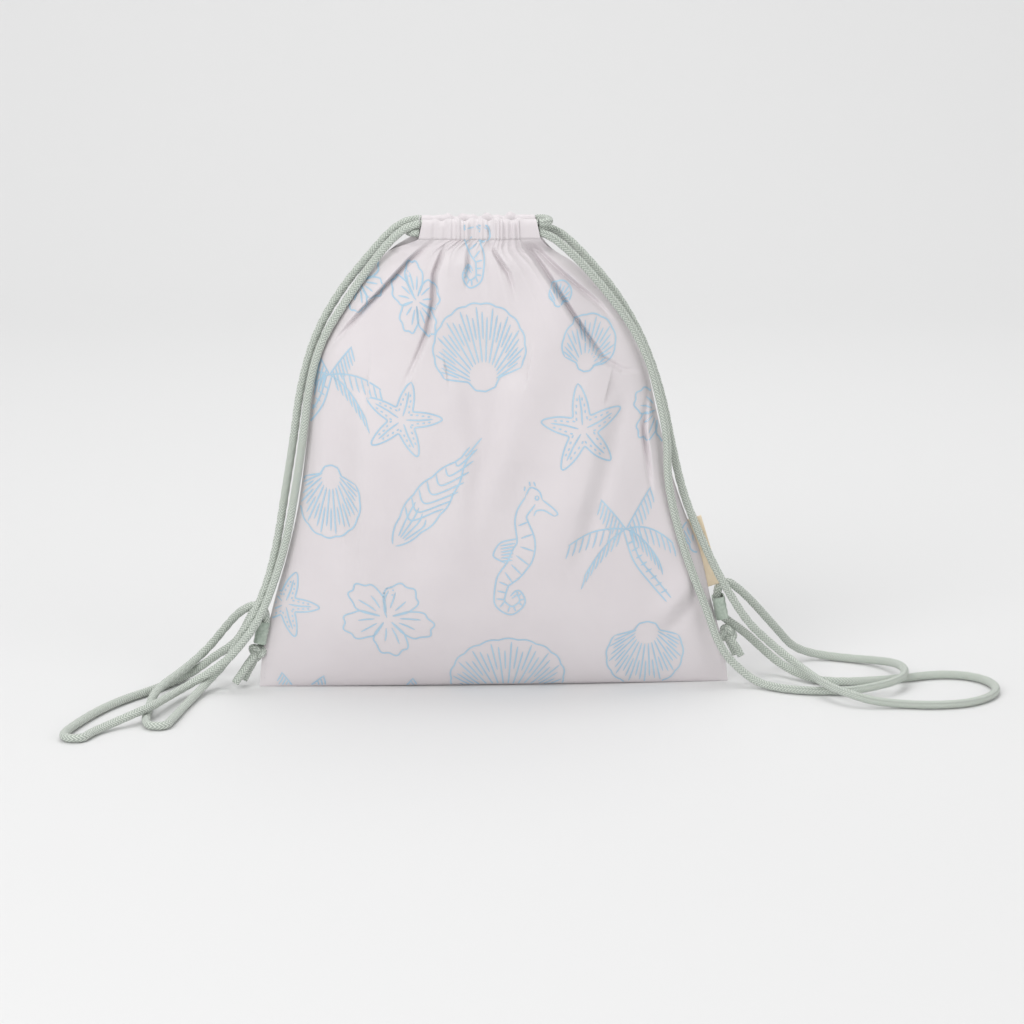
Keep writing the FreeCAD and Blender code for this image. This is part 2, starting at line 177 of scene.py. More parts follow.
def chevrons_with_painted_shade(material_parts, low, high, pitch):
    """Slanting yarns that meet in points along the cord, in relief, and in colour as painted shade in the
    grooves between yarns and painted highlight on their crowns.
    """
    material, nodes, links, shader = material_parts
    coords = nodes.new("ShaderNodeTexCoord")
    parts = nodes.new("ShaderNodeSeparateXYZ")
    links.new(coords.outputs["UV"], parts.inputs["Vector"])
    zigzag = nodes.new("ShaderNodeMath")
    zigzag.operation = "PINGPONG"
    zigzag.inputs[1].default_value = CORD_ROUND / 8
    links.new(parts.outputs["X"], zigzag.inputs[0])
    slope = nodes.new("ShaderNodeMath")
    slope.operation = "MULTIPLY_ADD"
    slope.inputs[1].default_value = 1.1
    links.new(zigzag.outputs["Value"], slope.inputs[0])
    links.new(parts.outputs["Y"], slope.inputs[2])
    phase = nodes.new("ShaderNodeMath")
    phase.operation = "MULTIPLY"
    phase.inputs[1].default_value = TAU / pitch
    links.new(slope.outputs["Value"], phase.inputs[0])
    wave = nodes.new("ShaderNodeMath")
    wave.operation = "SINE"
    links.new(phase.outputs["Value"], wave.inputs[0])
    # The ramp paints shade where the wave is low, in the grooves, and a highlight where it is high, on the
    # yarn crowns.
    ramp = nodes.new("ShaderNodeValToRGB")
    ramp.color_ramp.elements[0].position = 0.0
    ramp.color_ramp.elements[0].color = (*low, 1)
    ramp.color_ramp.elements[1].position = 0.75
    ramp.color_ramp.elements[1].color = (*high, 1)
    links.new(wave.outputs["Value"], ramp.inputs["Fac"])
    links.new(ramp.outputs["Color"], shader.inputs["Base Color"])
    bump = nodes.new("ShaderNodeBump")
    bump.inputs["Strength"].default_value = 0.7
    bump.inputs["Distance"].default_value = 0.0003
    links.new(wave.outputs["Value"], bump.inputs["Height"])
    links.new(bump.outputs["Normal"], shader.inputs["Normal"])


cloth = new_material("smooth_cloth", (0.735, 0.70, 0.72), 0.55, sheen=0.25)
tint(cloth, (0.672, 0.628, 0.646), (0.712, 0.670, 0.686), 14)
weave_bump(cloth, 0.00045, 0.25)
ink = new_material("blue_ink", (0.42, 0.57, 0.72), 0.6, specular=0.2)
tint(ink, (0.40, 0.575, 0.715), (0.47, 0.64, 0.76), 60)
weave_bump(ink, 0.00045, 0.2)
cord = new_material("braided_cord", (0.50, 0.56, 0.50), 0.8, sheen=0.3)
# The cord's dark and light tones are painted shade in the braid's grooves and painted highlight on its
# yarns.
chevrons_with_painted_shade(cord, (0.40, 0.445, 0.395), (0.70, 0.745, 0.68), 0.0023)
tape = new_material("ribbed_tape", (0.42, 0.50, 0.43), 0.8, sheen=0.3)
tint(tape, (0.33, 0.40, 0.335), (0.49, 0.56, 0.49), 420)
weave_bump(tape, 0.0011, 1.0)
ribbon = new_material("label_ribbon", (0.82, 0.70, 0.47), 0.7, sheen=0.2)
tint(ribbon, (0.84, 0.70, 0.51), (0.92, 0.79, 0.60), 90)
weave_bump(ribbon, 0.0005, 0.5)
thread = new_material("sewing_thread", (0.72, 0.69, 0.71), 0.6, sheen=0.2)
tint(thread, (0.63, 0.59, 0.61), (0.69, 0.65, 0.67), 400)
weave_bump(thread, 0.0003, 0.5)
floor_white = new_material("floor_white", (0.75, 0.75, 0.75), 0.6, specular=0.2)
CLOTH, INK, CORD, TAPE, RIBBON, THREAD, FLOOR = (
    m[0] for m in (cloth, ink, cord, tape, ribbon, thread, floor_white))


# ---------------------------------------------------------------- shape of the filled bag
left_edge = smooth_curve([
    (0, -175), (22, -173), (66, -163), (101, -153), (140, -144), (206, -135), (246, -130),
    (276, -117), (313, -92), (328, -74), (337, -55)])
right_edge = smooth_curve([
    (0, 175), (22, 172), (65, 161), (99, 153), (136, 139), (160, 131), (200, 121), (242, 111),
    (274, 97), (298, 78), (317, 58), (329, 40), (337, 33)])
depth = smooth_curve([
    (0, 3), (3, 8), (10, 14), (22, 20.5), (40, 27.5), (63, 33.5), (100, 38.5), (139, 40.5), (180, 40),
    (214, 38), (262, 33), (290, 28), (318, 20.5), (328, 17.4), (333, 16.2), (337, 16)])
ACROSS = np.linspace(-1, 1, 361)
SEAM_TOP = 318.0
CASING_BOTTOM = 337.0


def middle_and_half(z):
    """Middle and half width of the bag at height z, in millimetres."""
    return (left_edge(z) + right_edge(z)) / 2, (right_edge(z) - left_edge(z)) / 2


def across(s, z):
    """The place across the bag at fraction s of its half width."""
    middle, half = middle_and_half(z)
    return middle + half * s


# Large folds, each along a line of (x, z) in millimetres: height of the ridge, how far it spreads to
# its left and to its right, and how deep the crease beside it is.
FRONT_FOLDS = [
    ([(-31, 349), (-34, 330), (-41, 312), (-42, 293), (-47, 270), (-55, 251), (-68, 224)],
     5.5, 1.5, 17, 5.0),
    ([(-38, 345), (-64, 323), (-93, 292), (-128, 252)], 5.0, 20, 1.6, 5.0),
    ([(12, 342), (28, 319), (41, 300), (52, 282), (64, 264), (76, 247), (92, 237), (112, 234)],
     7.5, 24, 1.8, 7.0),
    ([(-7, 349), (0, 332), (12, 314), (18, 294)], 3.5, 1.4, 11, 4.0),
    ([(-18, 344), (-22, 324), (-24, 300)], 2.6, 7, 1.5, 3.0),
    ([(22, 340), (50, 314), (78, 290), (96, 268)], 3.6, 1.8, 15, 3.5),
    ([(118, 236), (112, 196), (119, 145)], 4.0, 1.8, 15, 5.0),
    ([(-93, 212), (-97, 140), (-91, 60)], 5.0, 12, 26, 2.0),
    ([(78, 214), (60, 148), (40, 84)], 5.5, 22, 10, 2.2),
    ([(154, 90), (112, 42)], 4.5, 14, 8, 2.0),
    ([(20, 226), (4, 140)], 4.0, 12, 22, 1.4),
    ([(-128, 252), (-133, 200), (-130, 150)], 3.0, 2.0, 12, 3.0),
    ([(-34, 230), (-26, 180), (-34, 104)], 3.6, 20, 10, 1.4),
]
BACK_FOLDS = [
    ([(-34, 338), (-50, 312), (-60, 285), (-74, 255)], 5.5, 4, 11, 2.0),
    ([(-8, 338), (-10, 312), (-18, 280), (-20, 250)], 5.0, 9, 4, 2.0),
    ([(16, 338), (36, 310), (58, 276), (84, 250)], 6.0, 5, 12, 3.0),
    ([(2, 338), (6, 316), (10, 298)], 3.0, 3, 6, 1.5),
    ([(-110, 235), (-116, 180), (-110, 130)], 2.5, 8, 14, 1.0),
    ([(92, 220), (84, 160), (90, 100)], 2.5, 14, 8, 1.0),
    ([(0, 200), (-10, 120)], 1.8, 18, 14, 0.6),
]


def pleats(count, seed):
    """Small gathers under the mouth: place across, width, height and length of each."""
    own = np.random.default_rng(seed)
    places = np.linspace(-0.50, 0.62, count) + own.uniform(-0.03, 0.03, count)
    return [(p, own.uniform(0.018, 0.034), own.uniform(1.0, 2.6), own.uniform(9, 34)) for p in places]


FRONT_PLEATS = pleats(15, 5)
BACK_PLEATS = pleats(17, 8)


def fold_relief(x, z, folds):
    """How far the large folds push the cloth outwards, in millimetres."""
    total = np.zeros_like(x)
    for line, height, left, right, crease in folds:
        best = np.full_like(x, 1e9)
        signed = np.zeros_like(x)
        along = np.zeros_like(x)
        lengths = [math.dist(a, b) for a, b in zip(line, line[1:])]
        done = 0.0
        for (a, b), length in zip(zip(line, line[1:]), lengths):
            ux, uz = (b[0] - a[0]) / length, (b[1] - a[1]) / length
            t = np.clip((x - a[0]) * ux + (z - a[1]) * uz, 0, length)
            dx, dz = x - a[0] - ux * t, z - a[1] - uz * t
            distance = np.hypot(dx, dz)
            nearer = distance < best
            best = np.where(nearer, distance, best)
            side = np.sign(ux * dz - uz * dx)
            signed = np.where(nearer, side * distance, signed)
            along = np.where(nearer, (done + t) / sum(lengths), along)
            done += length
        taper = np.minimum(1, (1 - along) * 2.2) * (0.55 + 0.45 * np.sin(np.clip(along, 0, 1) * 3.1))
        ridge = np.where(signed > 0, np.exp(-(signed / right) ** 2), np.exp(-(signed / left) ** 2))
        narrow = min(left, right)
        step_side = -1 if left < right else 1
        valley = np.exp(-((signed * step_side - 1.4 * narrow - 0.8) / (0.6 * narrow + 0.7)) ** 2)
        total += taper * (height * ridge - crease * valley)
    return total


def gather_relief(s, z, rows):
    """How far the small gathers push the cloth outwards, in millimetres."""
    total = np.zeros_like(s)
    down = np.maximum(CASING_BOTTOM - z, 0)
    for place, width, height, length in rows:
        drift = place + 0.04 * math.sin(40 * place) * down / 60
        fade = np.exp(-(down / length) ** 1.5)
        total += height * fade * np.exp(-np.abs((s - drift) / width) ** 1.5)
    return total


def soft_waves(x, z, seed):
    """Faint unevenness of thin cloth over loose contents."""
    own = np.random.default_rng(seed)
    total = np.zeros_like(x)
    for _ in range(9):
        angle = own.uniform(-0.5, 0.5)
        length = own.uniform(35, 90)
        phase = own.uniform(0, TAU)
        height = own.uniform(0.2, 0.5)
        total += height * np.sin((x * math.cos(angle) + z * math.sin(angle)) * TAU / length + phase)
    return total * smoothstep(0, 120, z)


def outward(s, z, side):
    """Distance of the cloth from the seam plane, in millimetres, at fraction s across its width."""
    x = across(s, z)
    lens = np.clip(1 - np.abs(s) ** 2.3, 0, 1) ** 0.8
    open_top = smoothstep(SEAM_TOP + 7, CASING_BOTTOM, z)
    flat = depth(z) * (lens * (1 - open_top) + open_top)
    folds, rows, seed = (FRONT_FOLDS, FRONT_PLEATS, 3) if side < 0 else (BACK_FOLDS, BACK_PLEATS, 9)
    hold = smoothstep(0, 0.12, 1 - np.abs(s))
    upper = 1 - 0.8 * smoothstep(SEAM_TOP, CASING_BOTTOM, z)
    relief = fold_relief(x, z, folds) * upper + soft_waves(x, z, seed)
    shaped = flat + hold * relief + gather_relief(s, z, rows) * (hold * 0.8 + 0.2)
    deepest = flat - 0.3 - 8 * (1 - smoothstep(SEAM_TOP, CASING_BOTTOM, z))
    return np.maximum(shaped, deepest)


def on_cloth(x, z, side, lift=0.0):
    """Points on the cloth (metres) above the given (x, z), lifted off it along its normal."""
    def out(px, pz):
        middle, half = middle_and_half(pz)
        return outward(np.clip((px - middle) / half, -0.999, 0.999), pz, side)

    y = out(x, z)
    e = 0.4
    gx = (out(x + e, z) - out(x - e, z)) / (2 * e)
    gz = (out(x, z + e) - out(x, z - e)) / (2 * e)
    size = np.sqrt(gx**2 + gz**2 + 1)
    return np.stack([x - lift * gx / size, side * (y + lift / size), z - lift * gz / size], -1) * MM


def make_panel(name, side):
    """One side of the bag: half the base, turned up into the panel and gathered at the top."""
    s = ACROSS
    columns = len(s)
    rows = []
    for fraction in (0.02, 0.3, 0.6, 0.85, 0.97):
        reach = np.clip(1 - np.abs(s) ** 2.3, 0, 1) ** 0.8 * depth(0.0) * fraction
        rows.append(np.stack([across(s, np.zeros_like(s)), side * reach, np.full_like(s, 0.25)], -1) * MM)
    levels = np.concatenate([
        np.linspace(0.6, 6, 8), np.linspace(8, 222, 110), np.linspace(223, CASING_BOTTOM, 150)])
    for z in levels:
        zs = np.full_like(s, z)
        rows.append(np.stack([across(s, zs), side * outward(s, zs, side), zs], -1) * MM)
    faces = grid_faces(len(rows), columns)
    if side > 0:
        faces = [f[::-1] for f in faces]
    return mesh_object(name, np.concatenate(rows), faces, CLOTH)


front = make_panel("front_panel_cloth", -1)
back = make_panel("back_panel_cloth", 1)
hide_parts("front_panel", "front_collar")
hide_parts("back_panel", "back_collar")


def bend_with_lip(obj):
    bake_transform(obj)


# ---------------------------------------------------------------- print
# Line-drawn seaside motifs. Each returns its strokes as (x, z) points in a square about one unit
# across, centred on the origin and upright.
def polar(radius, start, stop, count):
    angles = np.linspace(start, stop, count)
    r = radius(angles) if callable(radius) else np.full(count, radius)
    return np.stack([r * np.sin(angles), r * np.cos(angles)], -1)


def curve_through(*points):
    """A smooth stroke through a few points."""
    points = np.array(points, float)
    at = np.arange(len(points))
    fine = np.linspace(0, at[-1], 10 * len(points))
    return np.stack([smooth_curve(list(zip(at, points[:, k])))(fine) for k in (0, 1)], -1)


def starfish(size):
    own = np.random.default_rng(2)

    def arms(a):
        from_tip = np.abs((5 * a / TAU + 0.5) % 1 - 0.5)
        return 0.17 + 0.33 * (1 - from_tip * 2) ** 1.7 - 0.02 * np.exp(-(from_tip / 0.03) ** 2)

    strokes = [polar(arms, 0, TAU, 150)]
    for k in range(5):
        a = k * TAU / 5
        tip = np.array([math.sin(a), math.cos(a)])
        side = np.array([tip[1], -tip[0]])
        strokes.append(np.array([tip * 0.05, tip * 0.20 + side * 0.008, tip * 0.36]))
        for d in np.linspace(0.10, 0.30, 4):
            for hand in (-1, 1):
                spot = tip * d + side * hand * (0.075 - 0.14 * d + own.uniform(-0.006, 0.006))
                strokes.append(np.array([spot, spot + tip * 0.032]))
    return strokes


def scallop(size):
    ribs = 2 * int(np.clip(size / 8, 2, 7)) + 1
    hinge = np.array([0, -0.44])

    def reach(a):
        return 0.90 * (1 - (np.abs(a) / 1.72) ** 2.3)

    rim = polar(lambda a: reach(a) + 0.018 * np.abs(np.cos(ribs * a)), -1.25, 1.25, 150) + hinge
    ears = np.array([tuple(rim[0]), (-0.19, -0.36), (-0.12, -0.46), (0, -0.49), (0.12, -0.46),
                     (0.19, -0.36), tuple(rim[-1])])
    strokes = [rim, ears]
    for k, a in enumerate(np.linspace(-1.12, 1.12, 2 * ribs)):
        tip = polar(reach, a, a, 1)[0]
        inner = 0.30 if k % 2 else 0.58
        outer = 0.97 - 0.06 * (k % 3)
        strokes.append(np.array([hinge + tip * inner, hinge + tip * 0.7, hinge + tip * outer]))
    return strokes


def hibiscus(size):
    strokes = []
    for k in range(5):
        middle = k * TAU / 5 + 0.2
        petal = polar(lambda a: 0.47 * np.clip(np.cos((a - middle) * 2.1), 0, 1) ** 0.42
                      + 0.018 * np.cos(19 * a), middle - 0.66, middle + 0.66, 46)
        strokes.append(np.concatenate([[petal[0] * 0.3], petal, [petal[-1] * 0.3]]))
        for turn, reach in ((-0.24, 0.34), (0.2, 0.30)):
            ray = polar(1, middle + turn, middle + turn, 1)[0]
            strokes.append(np.array([ray * 0.13, ray * 0.22 + (0.004, 0.006), ray * reach]))
    strokes.append(curve_through((0.0, 0.0), (-0.06, 0.10), (-0.09, 0.24), (-0.08, 0.33)))
    for x, z in ((-0.11, 0.34), (-0.05, 0.35), (-0.12, 0.28), (-0.04, 0.29), (-0.08, 0.38)):
        strokes.append(np.array([(x, z), (x + 0.015, z + 0.012)]))
    return strokes


def frond(root, reach, droop, leaflets=8):
    """An arching palm leaf with leaflets hanging from its spine."""
    root = np.array(root, float)
    t = np.linspace(0, 1, 24)
    spine = root + np.stack([reach[0] * t, reach[1] * t - droop * t**2], -1)
    strokes = [spine]
    hang = np.array([0.05 * np.sign(reach[0] or 1), -0.17])
    for f in np.linspace(0.14, 0.97, leaflets):
        at = root + np.array([reach[0] * f, reach[1] * f - droop * f**2])
        size = 0.55 + 0.9 * f * (1.15 - f)
        strokes.append(np.array([at, at + hang * size * 0.6 + (0.004, 0), at + hang * size]))
    return strokes


def palm(size):
    strokes = [
        curve_through((0.02, 0.12), (0.10, -0.12), (0.26, -0.34), (0.40, -0.50)),
        curve_through((0.07, 0.12), (0.15, -0.10), (0.31, -0.31), (0.44, -0.47)),
    ]
    for f in np.linspace(0.1, 0.9, 8):
        x, z = 0.05 + 0.36 * f**1.15, 0.08 - 0.54 * f
        strokes.append(np.array([(x - 0.02, z - 0.02), (x + 0.035, z + 0.005)]))
    for reach, droop in (((-0.50, 0.12), 0.22), ((-0.36, -0.12), 0.26), ((0.42, 0.10), 0.26),
                         ((0.22, 0.34), 0.02), ((-0.22, 0.30), 0.04), ((0.30, -0.10), 0.20)):
        strokes += frond((0.04, 0.13), reach, droop)
    return strokes


def conch(size):
    """Long spiral shell with its tip up and to the right."""
    t = np.linspace(0, 1, 60)
    width = 0.02 + 0.20 * np.sin(np.clip(t * 1.12, 0, 1) * math.pi) ** 0.8 * (1 - 0.35 * t)
    step = 0.018 * np.abs(np.sin(t * 15))
    left = np.stack([-(width + step), t - 0.5], -1)
    right = np.stack([width + step, t - 0.5], -1)
    strokes = [left, right[::-1]]
    for f in np.linspace(0.30, 0.93, 8):
        w = np.interp(f, t, width)
        strokes.append(curve_through((-w, f - 0.5), (-0.2 * w, f - 0.5 - 0.35 * w), (w, f - 0.5 + 0.18)))
    for k in range(4):
        x = -0.12 + 0.075 * k
        strokes.append(curve_through((x, -0.12 - 0.02 * k), (x + 0.03, -0.24), (x * 0.4 + 0.02, -0.42)))
    return strokes


def seahorse(size):
    body = curve_through((0.10, 0.40), (0.02, 0.26), (0.08, 0.06), (0.0, -0.12), (-0.12, -0.26),
                         (-0.14, -0.40), (-0.02, -0.48), (0.08, -0.40), (0.03, -0.33), (-0.03, -0.37))
    t = np.linspace(0, 1, len(body))
    width = np.interp(t, [0, 0.1, 0.28, 0.45, 0.7, 1], [0.055, 0.05, 0.105, 0.06, 0.03, 0.012])
    heading = np.gradient(body, axis=0)
    heading /= np.linalg.norm(heading, axis=1)[:, None]
    side = np.stack([-heading[:, 1], heading[:, 0]], -1) * width[:, None]
    strokes = [body + side, body - side]
    for i in range(14, len(body) - 8, 5):
        strokes.append(np.array([body[i] + side[i] * 0.9, body[i] - side[i] * 0.5]))
    strokes.append(curve_through((0.05, 0.43), (0.10, 0.50), (0.18, 0.47), (0.21, 0.41)))
    strokes.append(curve_through((0.21, 0.41), (0.33, 0.34), (0.36, 0.31), (0.33, 0.29)))
    strokes.append(curve_through((0.33, 0.29), (0.22, 0.33), (0.16, 0.32), (0.14, 0.28)))
    strokes.append(polar(0.018, 0, TAU, 9) + (0.16, 0.42))
    for k, (x, z) in enumerate(((0.04, 0.47), (0.09, 0.51), (0.14, 0.51))):
        strokes.append(np.array([(x, z), (x - 0.01 * k, z + 0.035)]))
    strokes.append(curve_through((0.0, 0.10), (-0.16, 0.06), (-0.22, -0.04), (-0.10, -0.10)))
    for f in np.linspace(0.15, 0.9, 6):
        strokes.append(np.array([(-0.02 - 0.02 * f, 0.09 - 0.18 * f), (-0.16 + 0.02 * f, 0.06 - 0.16 * f)]))
    return strokes


MOTIFS = {"starfish": starfish, "scallop": scallop, "hibiscus": hibiscus, "palm": palm,
          "conch": conch, "seahorse": seahorse}
# kind, middle (x, z), width, height in millimetres, turn in degrees (clockwise), mirrored
FRONT_PRINT = [
    ("seahorse", -14, 343, 50, 78, 8, True), ("hibiscus", -57, 294, 36, 58, -12, False),
    ("hibiscus", -98, 305, 38, 46, 25, False), ("scallop", -12, 261, 60, 66, -8, False),
    ("palm", -117, 227, 74, 82, 0, True), ("starfish", -68, 208, 62, 60, 14, False),
    ("starfish", 63, 200, 66, 70, -6, False), ("scallop", 68, 262, 36, 42, 12, False),
    ("scallop", 47, 298, 15, 18, 20, False), ("hibiscus", 121, 208, 44, 54, 0, False),
    ("scallop", -121, 144, 40, 56, 183, False), ("conch", -46, 152, 62, 92, 38, False),
    ("seahorse", 15, 111, 78, 96, 3, False), ("palm", 92, 112, 86, 90, 0, False),
    ("starfish", -155, 65, 54, 54, 20, False), ("hibiscus", -80, 59, 74, 62, 20, False),
    ("scallop", 9, 11, 76, 66, 0, False), ("scallop", 111, 25, 52, 56, 183, False),
    ("palm", -150, -14, 72, 62, 10, False), ("palm", -76, -20, 70, 60, -6, False),
    ("scallop", 154, 112, 30, 26, 30, False),
]
BACK_PRINT = [
    ("scallop", -90, 292, 56, 58, 10, False), ("starfish", -10, 300, 60, 60, 0, False),
    ("palm", 66, 286, 76, 80, 0, True), ("seahorse", -92, 210, 76, 92, 0, False),
    ("hibiscus", -4, 226, 68, 62, 30, False), ("conch", 78, 206, 58, 86, -30, False),
    ("palm", -120, 120, 80, 86, 0, False), ("scallop", -34, 140, 62, 66, 183, False),
    ("starfish", 48, 130, 64, 64, 25, False), ("seahorse", 118, 112, 74, 90, 0, True),
    ("hibiscus", -120, 34, 70, 60, 0, False), ("conch", -46, 50, 60, 84, 60, False),
    ("scallop", 34, 40, 60, 62, 0, False), ("starfish", 108, 30, 58, 58, 10, False),
]
INK_WIDTH = 1.1
INK_LIFT = 0.22


def ribbons(name, side, lines, width, lift, material):
    """Thin strips that lie on the cloth along lines of (x, z) in millimetres."""
    lows, highs, keeps, runs = [], [], [], []
    for points in lines:
        line = even(np.stack([points[:, 0], points[:, 1], 0 * points[:, 0]], -1), 1.3)[:, :2]
        middle, half = middle_and_half(line[:, 1])
        inside = np.abs(line[:, 0] - middle) < half - 1.2
        keeps.append(inside & (line[:, 1] > 1.5) & (line[:, 1] < 348))
        heading = np.gradient(line, axis=0)
        heading /= np.linalg.norm(heading, axis=1)[:, None] + 1e-9
        sideways = np.stack([-heading[:, 1], heading[:, 0]], -1)
        order = np.arange(len(line))
        taper = np.minimum(1, 0.4 + 0.3 * np.minimum(order, order[::-1]))
        offset = sideways * (width / 2 * taper)[:, None]
        lows.append(line + offset)
        highs.append(line - offset)
        runs.append(len(line))
    edges = np.concatenate(lows + highs)
    vertices = on_cloth(edges[:, 0], np.clip(edges[:, 1], 1, 349), side, lift)
    total = sum(runs)
    faces = []
    first = 0
    for keep, count in zip(keeps, runs):
        for i in range(count - 1):
            if keep[i] and keep[i + 1]:
                a, b = first + i, first + total + i
                faces.append((a, a + 1, b + 1, b) if side < 0 else (b, b + 1, a + 1, a))
        first += count
    obj = mesh_object(name, vertices, faces, material)
    bend_with_lip(obj)
    return obj


def print_motifs(name, side, rows):
    """The print: thin strokes of ink that lie on the cloth."""
    lines = []
    for kind, x0, z0, width, height, turn, mirrored in rows:
        a = math.radians(turn)
        for stroke in MOTIFS[kind](min(width, height)):
            local = stroke * (-width if mirrored else width, height)
            x = x0 + local[:, 0] * math.cos(a) + local[:, 1] * math.sin(a)
            z = z0 - local[:, 0] * math.sin(a) + local[:, 1] * math.cos(a)
            lines.append(np.stack([x, z], -1))
    return ribbons(name, side, lines, INK_WIDTH, INK_LIFT, INK)


front_print = print_motifs("front_print", -1, FRONT_PRINT)
back_print = print_motifs("back_print", 1, BACK_PRINT)

# ---------------------------------------------------------------- casings
# Outer face, over the top, and down the inner face: depth from the outer face, and height.
TUNNEL = [
    (0, 337.0), (0, 339), (0, 341), (-0.1, 343), (-0.2, 345), (-0.3, 347), (-0.6, 349), (-1.2, 350.6),
    (-2.3, 351.9), (-3.8, 352.6), (-5.4, 352.5), (-7.0, 351.6), (-8.2, 350), (-8.9, 348), (-9.2, 345),
    (-9.1, 342), (-8.4, 339.5), (-6.5, 337.6), (-4.0, 336.8)]


def make_casing(name, side):
    """Gathered tunnel of cloth round both cords; its outer face carries on from the panel."""
    s = ACROSS
    columns = len(s)
    waviness = np.random.default_rng(20 + side).uniform(0, TAU, 2)
    rows = []
    for back_off, height in TUNNEL:
        z = CASING_BOTTOM + 0.87 * (height - CASING_BOTTOM)
        zs = np.full_like(s, z)
        face = outward(s, np.full_like(s, CASING_BOTTOM), side)
        plain = depth(CASING_BOTTOM)
        share = 1 - 0.75 * smoothstep(0, 7, -back_off)
        y = plain + (face - plain) * share + back_off
        top = smoothstep(343, 350, z)
        middle = smoothstep(0.1, 0.5, 1 - np.abs(s))
        wobble = (0.9 * np.sin(17 * s + waviness[0]) + 0.7 * np.sin(31 * s + waviness[1])) * middle
        lift = top * (wobble + 0.16 * (face - plain) * middle - 0.3)
        drawn_in = s * np.abs(s) ** 3 * 0.22 * (z - CASING_BOTTOM)
        x = across(s, np.full_like(s, CASING_BOTTOM)) - drawn_in
        rows.append(np.stack([x, side * y, zs + lift], -1) * MM)
    vertices = np.stack(rows, 1).reshape(-1, 3)
    faces = grid_faces(columns, len(TUNNEL), closed=True)
    if side > 0:
        faces = [f[::-1] for f in faces]
    obj = mesh_object(name, vertices, faces, CLOTH)
    thick = obj.modifiers.new("thickness", "SOLIDIFY")
    thick.thickness = 0.4 * MM
    thick.offset = -1
    return obj


for name, side in (("front", -1), ("back", 1)):
    casing = make_casing(name + "_casing_cloth", side)
    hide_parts(name + "_casing")
    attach(casing, name + "_lip")


